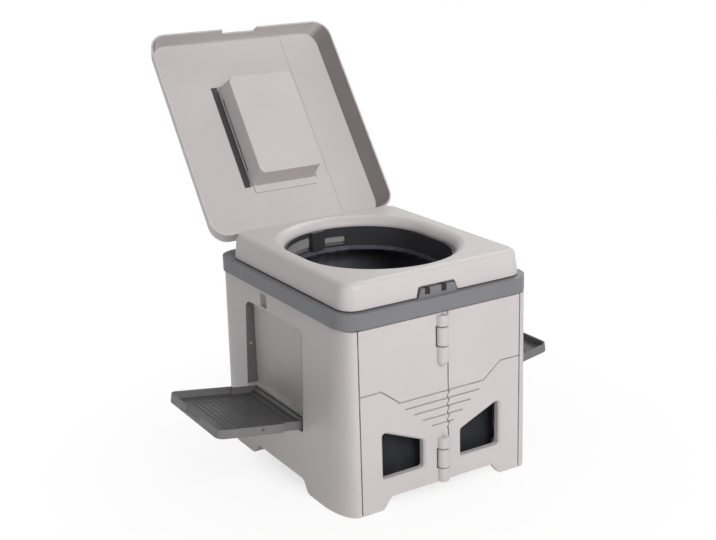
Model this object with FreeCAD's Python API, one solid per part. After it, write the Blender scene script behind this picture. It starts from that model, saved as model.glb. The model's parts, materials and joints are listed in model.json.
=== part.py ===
import FreeCAD, Part
import math
import os

# Folding travel toilet. Two side shells are joined by a hinged wall pair at the front and one at the rear.
# Both pairs fold inwards, so the right shell slides up against the left one.
# A lift-off top carries the seat, the bag and the lid, and each side has a fold-up tray.
# Frame: origin on the floor under the body's centre, X to the right seen from the front, Y to the rear, Z up.
# All sizes are in millimetres.

V = FreeCAD.Vector
X_AXIS, Y_AXIS, Z_AXIS = V(1, 0, 0), V(0, 1, 0), V(0, 0, 1)

# Body
body_depth = 399.0          # front face to rear face
shell_top_width = 327.0     # across the side shells at their top edge
shell_top = 301.0           # height of the side shells
side_flare = 10.0           # how far each side stands out further at the floor
side_wall = 16.0            # depth of a side shell at its top edge
side_trim = 0.1             # how much the flat of the side takes off its rounded corners
skin = 3.0                  # moulded wall thickness
corner_foot_run = 66.0      # length of the rounded corner along the side, at the floor
corner_top_run = 36.0       # the same at the top
post_width = 18.5           # from the side to the line between shell and wall panel
parting_gap = 2.0
post_depth = 16.5           # depth of the shell's return behind the front face
core_w = 6.5                # hollow in each corner post, open below
core_l = 20.0
core_set = 9.0              # hollow behind the outer face
side_arch_height = 19.0
side_arch_front = -76.0
side_arch_rear = 72.0
arch_round = 14.0
arch_corner_r = 12.0
arch_toe_r = 10.0
arch_toe_run = 30.0         # stretch over which the toe leaves the floor
arch_toe_lift = 0.4
pocket_wall = 4.5           # wall left beside the recess and its pockets
neck_gap = 0.6              # shell's neck inside the rim's skirt

# Folding wall panels
panel_t = 12.0
pin_depth = 6.5             # corner rod behind the outer face
rod_r = 2.0
running_fit = 0.05          # radial clearance of a rod or pin in its bore
knuckle_r = 4.6
knuckle_gap = 0.3
knuckle_h = 24.0
knuckle_bottoms = (22.0, 96.0, 170.0, 244.0)
arch_height = 18.75
arch_top_x = 92.5
arch_foot_x = 107.0
arch_top_r = 6.0
arch_foot_r = 4.0
panel_top_gap = 2.2         # panel's visible top edge below the rim's skirt
tongue_t = 6.0              # thinner stretch of the panel that runs up inside the skirt
window_in = 33.8
window_out = 106.0
window_bottom = 48.0
window_top_in = 93.2
window_top_out = 123.3
window_round = 5.0
window_chamfer = 3.0
groove_w = 2.3
groove_d = 3.0
belt_z = 187.6              # outer stretch of the long groove
belt_turn_x = 107.0
belt_low_x = 75.7
belt_low_z = 162.8
short_grooves = ((66.4, 150.3), (50.1, 138.1), (35.25, 125.1), (18.7, 112.6))
pry_notch_r = 2.4
panel_rib = 4.0             # ribs between the pockets in a panel's back
panel_pocket_r = 3.0

# Centre hinges of the wall pairs
hinge_r = 9.2
hinge_pin_r = 2.5
hinge_gap = 1.1
hinge_notch_gap = 2.2       # beside the middle knuckle
centre_gap = 1.9            # line between the two panels
hinge_offset = 0.6          # hinge axis outside the outer face
upper_hinge = (213.0, 236.4, 266.5, 285.0)
lower_hinge = (18.75, 42.1, 72.7, 91.3)
wave_depth = 1.8            # zigzag of the line between the two panels
wave_low, wave_high, wave_pitch = 100.0, 163.0, 12.6

# Trays and their recesses
recess_front = -76.5
recess_rear = 106.6
recess_depth = 12.0         # below the side's top edge
recess_sill_r = 2.0
tray_pivot_set = 3.5        # pivot inside the side's top edge
tray_pivot_z = 105.0
tray_length = 150.0         # pivot to outer edge
tray_tilt = 9.0             # outer edge raised in use
tray_under = 8.5            # pivot to the tray's underside
tray_over = 5.5             # pivot to the top of its lips
tray_floor_t = 3.0
tray_lip_t = 3.0
tray_round = 12.0
tray_arm = 41.0             # narrowed stretch beside the body
tray_arm_step = 5.0
tray_side_gap = 0.8
tray_barrel_r = 5.0
tray_rod_r = 2.5
tray_rod_seat = 4.0
tray_end_gap = 2.0
tray_sill_gap = 1.5
tray_rib_pitch = 9.0
tray_rib_w = 2.0
tray_rib_h = 0.8
tray_rib_margin = 10.0      # flat stretch between ribs and lips
tray_grip_w = 52.0          # lowered stretch of the outer lip
tray_grip_sill = 2.0        # lip left there above the floor
guide_t = 1.2
detent_reach = 77.0
detent_r = 2.2
detent_tip_r = 1.5
detent_proud = 0.6
detent_hole_r = 2.5
detent_hole_d = 1.8
ledge_h = 4.5               # ledge in the recess over the tray's barrel
ledge_reach = 8.0
ledge_gap = 1.0
pocket_side = 22.0          # square finger pocket above the recess
pocket_y = 45.0
pocket_lift = 3.0
pocket_depth = 9.0

# Rim
rim_side_out = 5.0          # rim beyond the shells' top edge
rim_front_out = 3.0         # rim beyond the body's front and rear
rim_bottom = 289.0
rim_top = 312.5
rim_round = 36.0
rim_wall = 2.8
rim_deck_t = 3.5
rim_seat_gap = 0.4          # rim's bearing band above the shells
rim_band_w = 24.0
collar_t = 3.0
collar_drop = 4.0           # collar below the ring's lower edge
tab_x = -3.0                # middle of the tab
tab_foot = 35.0
tab_head = 29.0
tab_h = 14.5
tab_set = 7.0               # tab behind the rim's front
tab_t = 8.0
tab_r = 2.0
tab_slots = (-19.0, 10.0)   # from the tab's middle
tab_slot_w = 9.0
tab_slot_d = 6.0
tab_slot_sill = 5.0
tab_pad_set = 0.8           # dark pad in each slot, behind the tab's face
tab_pad_gap = 0.1

# Seat
seat_side_set = 10.0        # seat inside the rim's side
seat_front_set = 9.5        # seat behind the rim's front
seat_rear_set = 17.5        # seat before the lid's pins
seat_top = 353.0
seat_round = 27.0
seat_edge_r = 10.0
seat_draft = 5.0            # inward lean of the seat's side over its height
seat_wall = 3.5
seat_gap = 0.3
seat_lift = 2.2             # seat's outer edge above the rim
hole_x = -3.0               # middle of the long hole, in line with the tab
hole_y = -8.0
hole_r = 118.0              # half width, and radius of its round ends
hole_run = 28.0             # middle of the hole to the centre of each round end
hole_z = 341.0              # height of the seat at the hole
roll_r = 20.0               # radius of the seat's roll down to the hole
roll_crest = 0.4            # crest of the roll above the flat top
hole_edge_r = 4.0
notch_foot = 37.5
notch_head = 31.5
notch_h = 17.2
notch_depth = 9.0
notch_r = 3.0

# Bag ring, clip and bag
ring_t = 3.0
ring_gap = 0.4
ring_bottom = 306.0
ring_top = 338.0
ring_windows = ((70.0, 89.5, 309.0, 324.0), (103.0, 155.0, 308.0, 331.0))   # bearings and heights
clip_angle = 96.5
clip_w = 25.0
clip_t = 7.0
bag_side_gap = 15.5         # bag to the shells' inner faces
bag_front_gap = 23.5        # bag behind the body's front
bag_rear_gap = 41.5         # bag before the body's rear
bag_bottom = 24.0
bag_top = 299.0
bag_round = 40.0
bag_wall = 1.2
bag_neck_gap = 0.3          # bag's mouth below the ring

# Lid
lid_side_out = 7.5          # lid beyond the rim's side
lid_front_set = 2.5         # lid behind the rim's front
lid_rear_set = 9.0          # lid's rear wall before its pins
lid_depth = 34.2            # lip to inner face
lid_flare = 12.5            # lip beyond the top, on each side
lid_wall = 2.8
lid_round = 31.0
lid_edge_r = 10.0           # outer edge of the lid's top
lid_inner_r = 6.0           # inner edge behind it
lid_gap = 7.5               # lip above the rim when the lid lies on the seat
lid_open = 126.0            # opening angle shown
liner_t = 2.4
liner_gap = 0.4
lid_notch_w = 69.0
lid_notch_h = 12.0
lid_notch_lean = 3.0
lid_notch_r = 2.0
crease_x = 90.0
crease_step = 0.8
lid_pin_set = 15.0          # pins before the rim's rear
lid_pin_lift = 16.9         # pins above the rim
lid_pin_r = 2.5
lid_knuckle_r = 6.0
lid_knuckle_set = 83.5      # knuckle's inner end from the lid's side
lid_knuckle_w = 30.0
ear_w = 6.0
ear_gap = 0.5

# Tissue box on the lid's inner face
box_half_w = 60.0
box_near = 98.0             # from the lid's front lip
box_far = 283.0
box_reach = 10.0            # below the lip plane when the lid is shut
box_lean = 4.0
box_round = 11.0
box_wall = 2.4
box_slot_w = 12.0
slot_pad_t = 2.0            # dark pad in the slot beside the box
box_flange_l = 17.0
box_flange_t = 2.0
box_edge_r = 2.0

# Derived values
half_depth = body_depth / 2
front = -half_depth
top_half = shell_top_width / 2
foot_half = top_half + side_flare
inner_half = top_half - side_wall
parting = top_half - post_width
recess_floor = top_half - recess_depth
tray_pivot_x = top_half - tray_pivot_set
nose_r = panel_t - pin_depth
pin_x = parting - parting_gap - nose_r
pin_y = front + pin_depth
panel_top = rim_bottom - panel_top_gap
centre_line = hinge_r + hinge_gap
tongue_top = shell_top - parting_gap
tray_front = recess_front + guide_t + tray_side_gap
tray_rear = recess_rear - guide_t - tray_side_gap
recess_bottom = tray_pivot_z - tray_under - tray_sill_gap
recess_top = tray_pivot_z + tray_length + tray_end_gap
recess_round = tray_round + guide_t + tray_side_gap
tray_middle = (tray_front + tray_rear) / 2
detent_z = tray_pivot_z + detent_reach
rim_width = shell_top_width + 2 * rim_side_out
rim_depth = body_depth + 2 * rim_front_out
rim_front = -rim_depth / 2
tab_front = rim_front + tab_set
lid_pin_y = -rim_front - lid_pin_set
lid_pin_z = rim_top + lid_pin_lift
lid_width = rim_width + 2 * lid_side_out
lid_knuckle_in = lid_width / 2 - lid_knuckle_set
lid_front = rim_front + lid_front_set
lid_rear = lid_pin_y - lid_rear_set
seat_width = rim_width - 2 * seat_side_set
seat_front = rim_front + seat_front_set
seat_rear = lid_pin_y - seat_rear_set
bag_half_w = inner_half - bag_side_gap
bag_front = front + bag_front_gap
bag_rear = half_depth - bag_rear_gap
band_under = shell_top + rim_seat_gap
deck_under = rim_top - rim_deck_t
collar_r = hole_r + collar_t
lip_z = rim_top + lid_gap
lid_inner_z = lip_z + lid_depth
lid_top_z = lid_inner_z + liner_t + liner_gap + lid_wall
ring_r = hole_r - ring_gap
rear_end = hole_y + hole_run


def box(x0, x1, y0, y1, z0, z1):
    """Block between two corners given as ranges."""
    return Part.makeBox(x1 - x0, y1 - y0, z1 - z0, V(x0, y0, z0))


def cylinder(r, base, axis, length):
    return Part.makeCylinder(r, length, base, axis)


def outline(points, place):
    """Face through (u, v, corner radius) points, put in space by place(u, v)."""
    count = len(points)
    starts, ends, mids = [], [], []
    for i, (u, v, r) in enumerate(points):
        here = V(u, v, 0)
        before = V(points[i - 1][0], points[i - 1][1], 0) - here
        after = V(points[(i + 1) % count][0], points[(i + 1) % count][1], 0) - here
        half = before.getAngle(after) / 2
        before.normalize()
        after.normalize()
        run = r / math.tan(half)
        middle = before + after
        if r:
            middle.normalize()
        starts.append(here + before * run)
        ends.append(here + after * run)
        mids.append(here + middle * (r / math.sin(half) - r))
    edges = []
    for i in range(count):
        a, m, b = [place(p.x, p.y) for p in (starts[i], mids[i], ends[i])]
        if points[i][2]:
            edges.append(Part.Arc(a, m, b).toShape())
        c = place(starts[(i + 1) % count].x, starts[(i + 1) % count].y)
        if b.distanceToPoint(c) > 1e-6:
            edges.append(Part.LineSegment(b, c).toShape())
    return Part.Face(Part.Wire(edges))


def slab_xy(points, z0, z1):
    return outline(points, lambda u, v: V(u, v, z0)).extrude(V(0, 0, z1 - z0))


def slab_xz(points, y0, y1):
    return outline(points, lambda u, v: V(u, y0, v)).extrude(V(0, y1 - y0, 0))


def slab_yz(points, x0, x1):
    return outline(points, lambda u, v: V(x0, u, v)).extrude(V(x1 - x0, 0, 0))


def rect(u0, u1, v0, v1, r=0.0):
    return [(u0, v0, r), (u1, v0, r), (u1, v1, r), (u0, v1, r)]


def mirrored(shape):
    return shape.mirror(V(0, 0, 0), X_AXIS)


def turned_half(shape):
    """The same moulding turned half round about the vertical, for the rear."""
    out = shape.copy()
    out.rotate(V(0, 0, 0), Z_AXIS, 180)
    return out


def union(shapes):
    return shapes[0].multiFuse(shapes[1:]).removeSplitter()


def minus(shape, tools):
    return shape.cut(tools)


def side_x(z):
    """Half width of the leaning side wall at a height."""
    return foot_half + (top_half - foot_half) * z / shell_top


def corner_curve(start, corner, end):
    """Quarter of an oval between two straight stretches that meet at corner."""
    pull = 0.5523
    curve = Part.BezierCurve()
    curve.setPoles([start, start + (corner - start) * pull, end + (corner - end) * pull, end])
    return curve.toShape()


def shell_section(half, run, z):
    """Plan of the left shell at one height."""
    bend = parting + parting_gap
    front_pts = [V(-parting, front, z), V(-bend, front, z), V(-half, front + run, z)]
    rear_pts = [V(p.x, -p.y, z) for p in front_pts]
    back = -front - post_depth
    inside = [V(-parting, back, z), V(-inner_half, back, z), V(-inner_half, -back, z), V(-parting, -back, z)]
    edges = [Part.LineSegment(front_pts[0], front_pts[1]).toShape()]
    edges.append(corner_curve(front_pts[1], V(-half, front, z), front_pts[2]))
    edges.append(Part.LineSegment(front_pts[2], rear_pts[2]).toShape())
    edges.append(corner_curve(rear_pts[2], V(-half, -front, z), rear_pts[1]))
    path = [rear_pts[1], rear_pts[0]] + inside + [front_pts[0]]
    edges += [Part.LineSegment(a, b).toShape() for a, b in zip(path, path[1:])]
    return Part.Wire(edges)


def shell_pocket(y0, y1, z0, z1):
    """Space behind the outer skin, open to the inside."""
    points = [(-inner_half + 1, z0, 0), (-side_x(z0) + skin, z0, 0)]
    points += [(-side_x(z1) + skin, z1, 0), (-inner_half + 1, z1, 0)]
    return slab_xz(points, y0, y1)


def shell_knuckle(z0):
    """Barrel on the corner rod, with the web that ties it to the shell."""
    barrel = cylinder(knuckle_r, V(-pin_x, pin_y, z0), Z_AXIS, knuckle_h)
    web = box(-parting - 1, -pin_x, pin_y - rod_r, pin_y + knuckle_r, z0, z0 + knuckle_h)
    return barrel.fuse(web)


def recess_outline(inset):
    """Outline of the tray's recess, or of the space inside it."""
    points = rect(recess_front + inset, recess_rear - inset, recess_bottom + inset, recess_top - inset)
    rounds = (recess_sill_r, recess_sill_r, recess_round - inset, recess_round - inset)
    return [(u, v, r) for (u, v, _), r in zip(points, rounds)]


def neck_cut():
    """What the shell gives up at its top so that it fits inside the rim's skirt."""
    inset = rim_wall + neck_gap
    w, d = rim_width / 2 - inset, rim_depth / 2 - inset
    keep = rounded_block(w, -d, d, rim_round - inset, panel_top - 1, shell_top + 2)
    return box(-foot_half, 0, -rim_depth, rim_depth, panel_top, shell_top + 1).cut(keep)


def side_flat():
    """Everything outside the leaning flat of the left side."""
    low, high = -1, shell_top + 1
    far = -2 * foot_half
    points = [(-side_x(low), low, 0), (far, low, 0), (far, high, 0), (-side_x(high), high, 0)]
    return slab_xz(points, -half_depth, half_depth)


def side_shell():
    """Left shell: leaning side wall, rounded corners, feet and the recess for the tray."""
    foot = shell_section(foot_half + side_trim, corner_foot_run, 0)
    top = shell_section(top_half + side_trim, corner_top_run, shell_top)
    body = Part.makeLoft([foot, top], True, True).cut(side_flat())
    knuckles = [shell_knuckle(z) for z in knuckle_bottoms]
    knuckles += [k.mirror(V(0, 0, 0), Y_AXIS) for k in knuckles]
    body = union([body] + knuckles)
    far = -2 * foot_half
    a0, a1 = side_arch_front, side_arch_rear
    b0, b1 = a0 - arch_round, a1 + arch_round
    arch = [(b0 - arch_toe_run, -1, 0), (b1 + arch_toe_run, -1, 0), (b1, arch_toe_lift, arch_toe_r)]
    arch += [(a1, side_arch_height, arch_corner_r), (a0, side_arch_height, arch_corner_r)]
    arch.append((b0, arch_toe_lift, arch_toe_r))
    pocket_z = recess_top + pocket_lift
    tools = [slab_yz(arch, far, 0), slab_yz(recess_outline(0.0), far, -recess_floor)]
    tools.append(box(far, -side_x(pocket_z) + pocket_depth, pocket_y - pocket_side / 2,
                     pocket_y + pocket_side / 2, pocket_z, pocket_z + pocket_side))
    post = half_depth - corner_foot_run
    low = side_arch_height + skin
    high = shell_top - skin
    for y0, y1 in ((-post, recess_front - pocket_wall), (recess_rear + pocket_wall, post)):
        for z0, z1 in ((low, high / 2), (high / 2 + skin, high)):
            tools.append(shell_pocket(y0, y1, z0, z1))
    tools.append(shell_pocket(recess_front, recess_rear, low, recess_bottom - skin))
    core_x = parting + skin
    for y0 in (front + core_set, -front - core_set - core_l):
        tools.append(box(-core_x - core_w, -core_x, y0, y0 + core_l, -1, panel_top - skin))
    for y in (pin_y, -pin_y):
        tools.append(cylinder(rod_r + running_fit, V(-pin_x, y, knuckle_bottoms[0] - 1), Z_AXIS, shell_top))
    rod_y = recess_front - tray_rod_seat
    rod_l = recess_rear - recess_front + 2 * tray_rod_seat
    tools.append(cylinder(tray_rod_r, V(-tray_pivot_x, rod_y, tray_pivot_z), Y_AXIS, rod_l))
    body = minus(body, tools + [neck_cut()])
    ledge_z = tray_pivot_z + tray_barrel_r + ledge_gap
    inset = tray_arm_step + tray_lip_t + ledge_gap
    ledge = box(-recess_floor - ledge_reach, -recess_floor + 1, tray_front + inset, tray_rear - inset,
                ledge_z, ledge_z + ledge_h)
    return body.fuse(ledge).removeSplitter()


def corner_rod():
    bottom = knuckle_bottoms[0] - 1
    return cylinder(rod_r, V(-pin_x, pin_y, bottom), Z_AXIS, panel_top - 1 - bottom)


def panel_edge(sign_gap):
    """Points up the line between the two panels, with its zigzag stretch."""
    x = centre_line + sign_gap * centre_gap / 2
    points = [(x, arch_height, 0), (x, wave_low, 0)]
    steps = int((wave_high - wave_low) / wave_pitch)
    for i in range(steps):
        z = wave_low + (i + 0.5) * wave_pitch
        points += [(x - wave_depth, z - wave_pitch / 4, 0), (x + wave_depth, z + wave_pitch / 4, 0)]
    return points + [(x, wave_high + wave_pitch / 2, 0), (x, panel_top, 0)]


def groove(points):
    """Shallow cut in the front face along a run of straight stretches."""
    cuts = []
    for (x0, z0), (x1, z1) in zip(points, points[1:]):
        length = math.hypot(x1 - x0, z1 - z0)
        half = groove_w / 2
        bar = box(-half, length + half, front - 1, front + groove_d, -half, half)
        bar.rotate(V(0, 0, 0), Y_AXIS, -math.degrees(math.atan2(z1 - z0, x1 - x0)))
        bar.translate(V(x0, 0, z0))
        cuts.append(bar)
    return cuts


def panel_grooves(side):
    """Decorative lines of one panel; side is -1 for the left panel and 1 for the right one."""
    edge = 2 * parting
    belt = [(edge, belt_z), (belt_turn_x, belt_z), (belt_low_x, belt_low_z), (0, belt_low_z)]
    cuts = groove([(side * x, z) for x, z in belt])
    for reach, z in short_grooves:
        cuts += groove([(side * reach, z), (0, z)] if side > 0 else [(-reach, z), (edge, z)])
    if side < 0:
        cuts += groove([(0, belt_low_z), (edge, belt_low_z)])
    return cuts


def window(side):
    points = [(window_in, window_bottom), (window_out, window_bottom)]
    points += [(window_out, window_top_out), (window_in, window_top_in)]
    points = [(side * x, z, window_round) for x, z in points]
    inner = outline(points, lambda u, v: V(u, front + window_chamfer, v))
    outer = inner.makeOffset2D(2 * window_chamfer)
    outer.translate(V(0, -2 * window_chamfer, 0))
    flare = Part.makeLoft([outer.OuterWire, inner.OuterWire], True, True)
    return flare.fuse(slab_xz(points, front, front + panel_t + 1))


def panel_pockets(side):
    """Spaces in the panel's back between its ribs."""
    outer = pin_x - 2 * knuckle_r - panel_rib
    inner = hinge_r + hinge_gap + 2 * panel_rib
    middle = (outer + inner) / 2
    floors = (window_top_out + panel_rib, belt_z + panel_rib)
    roofs = (belt_z, panel_top - panel_rib)
    cuts = []
    for z0, z1 in zip(floors, roofs):
        for x0, x1 in ((inner, middle - panel_rib / 2), (middle + panel_rib / 2, outer)):
            a, b = sorted((side * x0, side * x1))
            plan = rect(a, b, z0, z1, panel_pocket_r)
            cuts.append(slab_xz(plan, front + skin + groove_d, front + panel_t + 1))
    return cuts


def panel_nose_cuts(side):
    """Room behind the front skin for the shell's knuckles, over the whole fold."""
    cuts = []
    clear = knuckle_r + knuckle_gap
    for z in knuckle_bottoms:
        z0 = z - knuckle_gap
        height = knuckle_h + 2 * knuckle_gap
        cuts.append(cylinder(clear, V(side * pin_x, pin_y, z0), Z_AXIS, height))
        a, b = sorted((side * (pin_x - clear), side * (pin_x + 2 * nose_r)))
        cuts.append(box(a, b, pin_y - rod_r - knuckle_gap, front + panel_t + 1, z0, z0 + height))
    return cuts


def hinge_ranges(side):
    """Height ranges of the centre hinge knuckles that belong to one panel."""
    lengths = []
    for z in (upper_hinge, lower_hinge):
        own = ((z[0], z[1]), (z[2], z[3])) if side < 0 else ((z[1], z[2]),)
        lengths += [(a + hinge_gap, b - hinge_gap) for a, b in own]
    return lengths


def hinge_barrels(side):
    axis_y = front - hinge_offset
    barrels = [cylinder(hinge_r, V(0, axis_y, a), Z_AXIS, b - a) for a, b in hinge_ranges(side)]
    if side < 0:
        tail = upper_hinge[0] + hinge_gap
        barrels.append(Part.makeSphere(hinge_r, V(0, axis_y, tail)))
    return barrels


def panel_plate(side):
    """Flat panel with its foot, its rounded inner nose and its thinner tongue at the top."""
    gap = -1 if side < 0 else 1
    outer = side * (pin_x + nose_r)
    foot = [(side * arch_top_x, arch_height, arch_top_r), (side * arch_foot_x, 0, arch_foot_r), (outer, 0, 0)]
    points = foot + [(outer, panel_top, 0)] + panel_edge(gap)[::-1]
    plate = slab_xz(points, front, front + panel_t)
    a, b = sorted((side * pin_x, side * (pin_x + 2 * nose_r)))
    behind = box(a, b, pin_y, front + panel_t + 1, -1, panel_top + 1)
    nose = cylinder(nose_r, V(side * pin_x, pin_y, 0), Z_AXIS, panel_top)
    plate = plate.cut(behind.cut(nose))
    end = centre_line + gap * centre_gap / 2
    a, b = sorted((side * pin_x, end))
    tongue = box(a, b, front + panel_t - tongue_t, front + panel_t, panel_top - 1, tongue_top)
    return plate.fuse(tongue)


def wall_panel(side):
    """One half of the front wall; side is -1 for the left half and 1 for the right one."""
    axis_y = front - hinge_offset
    plate = panel_plate(side)
    clear = hinge_r + hinge_notch_gap
    tools = [window(side)] + panel_grooves(side) + panel_pockets(side) + panel_nose_cuts(side)
    back = front + panel_t + 1
    if side < 0:
        for a, b in hinge_ranges(1):
            tools.append(box(-clear, 2 * clear, front - 1, back, a - hinge_gap * 2, b + hinge_gap * 2))
    plate = minus(plate, tools)
    parts = [plate] + hinge_barrels(side)
    if side > 0:
        for a, b in hinge_ranges(side):
            parts.append(box(0, 2 * clear, front, front + panel_t, a, b))
    panel = union(parts)
    bores = [cylinder(rod_r + running_fit, V(side * pin_x, pin_y, -1), Z_AXIS, shell_top + 1)]
    for low, high in ((upper_hinge[0], upper_hinge[-1]), (lower_hinge[0], lower_hinge[-1])):
        bores.append(cylinder(hinge_pin_r + running_fit, V(0, axis_y, low + hinge_r / 2), Z_AXIS, high - low))
    if side > 0:
        bores.append(cylinder(pry_notch_r, V(pin_x + nose_r, front - 1, belt_z), Y_AXIS, panel_t / 2))
    return minus(panel, bores)


def hinge_pin(z):
    low = z[0] + hinge_r / 2 + hinge_gap
    return cylinder(hinge_pin_r, V(0, front - hinge_offset, low), Z_AXIS, z[-1] - hinge_gap - low)


def tray_plan(inset):
    """Plan of the tray from its pivot outwards, with round outer corners."""
    end = tray_length - inset
    r = tray_round - inset
    inner = tray_barrel_r
    return [(inner, tray_front + inset, 0), (inner, tray_rear - inset, 0),
            (-end, tray_rear - inset, r), (-end, tray_front + inset, r)]


def tray_tub(floor, above):
    """Space inside the tray's lips, drawn in beside the body where the arms are set back."""
    wide = slab_xy(tray_plan(tray_lip_t), floor, above)
    inset = tray_lip_t + tray_arm_step
    end = tray_arm + tray_lip_t
    arms = [box(-end, 2 * tray_barrel_r, y0, y0 + inset, floor - 1, above + 1)
            for y0 in (tray_front, tray_rear - inset)]
    return minus(wide, arms)


def tray():
    """Left tray, lying level with its pivot at the origin, then raised to its tilt and moved to the body."""
    solid = slab_xy([(min(u, 0.0), v, r) for u, v, r in tray_plan(0)], -tray_under, tray_over)
    floor = -tray_under + tray_floor_t
    above = tray_over + 1
    step = tray_arm_step
    tools = [tray_tub(floor, above)]
    for y0 in (tray_front - 1, tray_rear - step):
        tools.append(box(-tray_arm, 1, y0, y0 + step + 1, -tray_under - 1, above))
    grip = tray_grip_w / 2
    tools.append(box(-tray_length - 1, -tray_length + 2 * tray_lip_t, tray_middle - grip, tray_middle + grip,
                     floor + tray_grip_sill, above))
    for y, way in ((tray_front, 1), (tray_rear, -1)):
        start = V(-detent_reach, y - way, 0)
        tools.append(cylinder(detent_hole_r, start, Y_AXIS * way, detent_hole_d + 1))
    solid = minus(solid, tools)
    y0, y1 = tray_front + step, tray_rear - step
    pieces = [solid, cylinder(tray_barrel_r, V(0, y0, 0), Y_AXIS, y1 - y0)]
    pieces.append(box(-2 * tray_barrel_r, tray_barrel_r * 0.7, y0, y1, -tray_under, -tray_barrel_r * 0.5))
    first = tray_arm / 2
    inset = tray_lip_t + tray_rib_margin
    count = int((tray_length - inset - first) / tray_rib_pitch)
    for i in range(count):
        x = -first - i * tray_rib_pitch
        pieces.append(box(x - tray_rib_w, x, tray_front + inset, tray_rear - inset,
                          floor, floor + tray_rib_h))
    solid = union(pieces)
    bore = cylinder(tray_rod_r + running_fit, V(0, tray_front - 1, 0), Y_AXIS, tray_rear - tray_front + 2)
    solid = solid.cut(bore)
    solid.rotate(V(0, 0, 0), Y_AXIS, tray_tilt)
    solid.translate(V(-tray_pivot_x, 0, tray_pivot_z))
    return solid


def tray_rod():
    y0 = recess_front - tray_rod_seat
    return cylinder(tray_rod_r, V(-tray_pivot_x, y0, tray_pivot_z), Y_AXIS, recess_rear + tray_rod_seat - y0)


def tray_guides():
    """Dark strips on the recess's two side walls, which follow its rounded upper corners."""
    z0 = tray_pivot_z + 2 * tray_barrel_r
    lining = slab_yz(recess_outline(0.0), -foot_half, -recess_floor)
    lining = lining.cut(slab_yz(recess_outline(guide_t), -2 * foot_half, 0))
    points = [(-recess_floor, z0, 0), (-recess_floor, recess_top, 0)]
    points += [(-side_x(recess_top), recess_top, 0), (-side_x(z0), z0, 0)]
    strips = []
    for wall, way in ((recess_front, 1), (recess_rear, -1)):
        a, b = sorted((wall, wall + way * recess_round))
        strips += lining.common(slab_xz(points, a, b)).Solids
    return Part.makeCompound(strips)


def tray_detents():
    """Low round buttons on the strips that hold the folded tray."""
    buttons = []
    for wall, way in ((recess_front, 1), (recess_rear, -1)):
        foot = V(-tray_pivot_x, wall + way * guide_t, detent_z)
        buttons.append(Part.makeCone(detent_r, detent_tip_r, detent_proud, foot, Y_AXIS * way))
    return Part.makeCompound(buttons)


def rounded_block(half_w, y0, y1, r, z0, z1):
    return slab_xy(rect(-half_w, half_w, y0, y1, r), z0, z1)


def oval(r, z0, z1):
    """Long round-ended block about the hole's middle."""
    return slab_xy(rect(hole_x - r, hole_x + r, hole_y - hole_run - r, rear_end + r, r), z0, z1)


def trapezoid(foot, head, z0, z1, r):
    """Outline of the tab, or of the seat's notch round it."""
    return [(tab_x - foot, z0, 0), (tab_x + foot, z0, 0), (tab_x + head, z1, r), (tab_x - head, z1, r)]


def slot_starts():
    return [tab_x + x - tab_slot_w / 2 for x in tab_slots]


def rim():
    """Cap over the body: outer skirt, bearing band on the shells, deck, collar, lid ears and front tab."""
    w, d = rim_width / 2, rim_depth / 2
    solid = rounded_block(w, -d, d, rim_round, rim_bottom, rim_top)
    inside = rounded_block(w - rim_wall, -d + rim_wall, d - rim_wall, rim_round - rim_wall,
                           rim_bottom - 1, band_under)
    hollow = rounded_block(w - rim_band_w, -d + rim_band_w, d - rim_band_w, rim_round / 2,
                           band_under - 1, deck_under)
    collar = oval(collar_r + collar_t, ring_bottom - collar_drop, rim_top)
    mouth = oval(collar_r, band_under - 2, rim_top + 1)
    solid = solid.cut(inside).cut(hollow.cut(collar)).cut(mouth)
    pieces = [solid]
    for side in (-1, 1):
        for x in (lid_knuckle_in - ear_gap - ear_w, lid_knuckle_in + lid_knuckle_w + ear_gap):
            x0 = x if side > 0 else -x - ear_w
            pieces.append(box(x0, x0 + ear_w, lid_pin_y - lid_knuckle_r, lid_pin_y + lid_knuckle_r,
                              rim_top - 1, lid_pin_z))
            pieces.append(cylinder(lid_knuckle_r, V(x0, lid_pin_y, lid_pin_z), X_AXIS, ear_w))
    tab = trapezoid(tab_foot, tab_head, rim_top - 1, rim_top + tab_h, tab_r)
    pieces.append(slab_xz(tab, tab_front, tab_front + tab_t))
    solid = union(pieces)
    tools = [cylinder(lid_pin_r + running_fit, V(-w, lid_pin_y, lid_pin_z), X_AXIS, 2 * w)]
    for x0 in slot_starts():
        tools.append(box(x0, x0 + tab_slot_w, tab_front - 1, tab_front + tab_slot_d,
                         rim_top + tab_slot_sill, rim_top + tab_h + 1))
    return minus(solid, tools)


def tab_pads():
    """Dark pads in the tab's two slots."""
    gap = tab_pad_gap
    pads = [box(x0 + gap, x0 + tab_slot_w - gap, tab_front + tab_pad_set, tab_front + tab_slot_d,
                rim_top + tab_slot_sill, rim_top + tab_h) for x0 in slot_starts()]
    return Part.makeCompound(pads)


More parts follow.
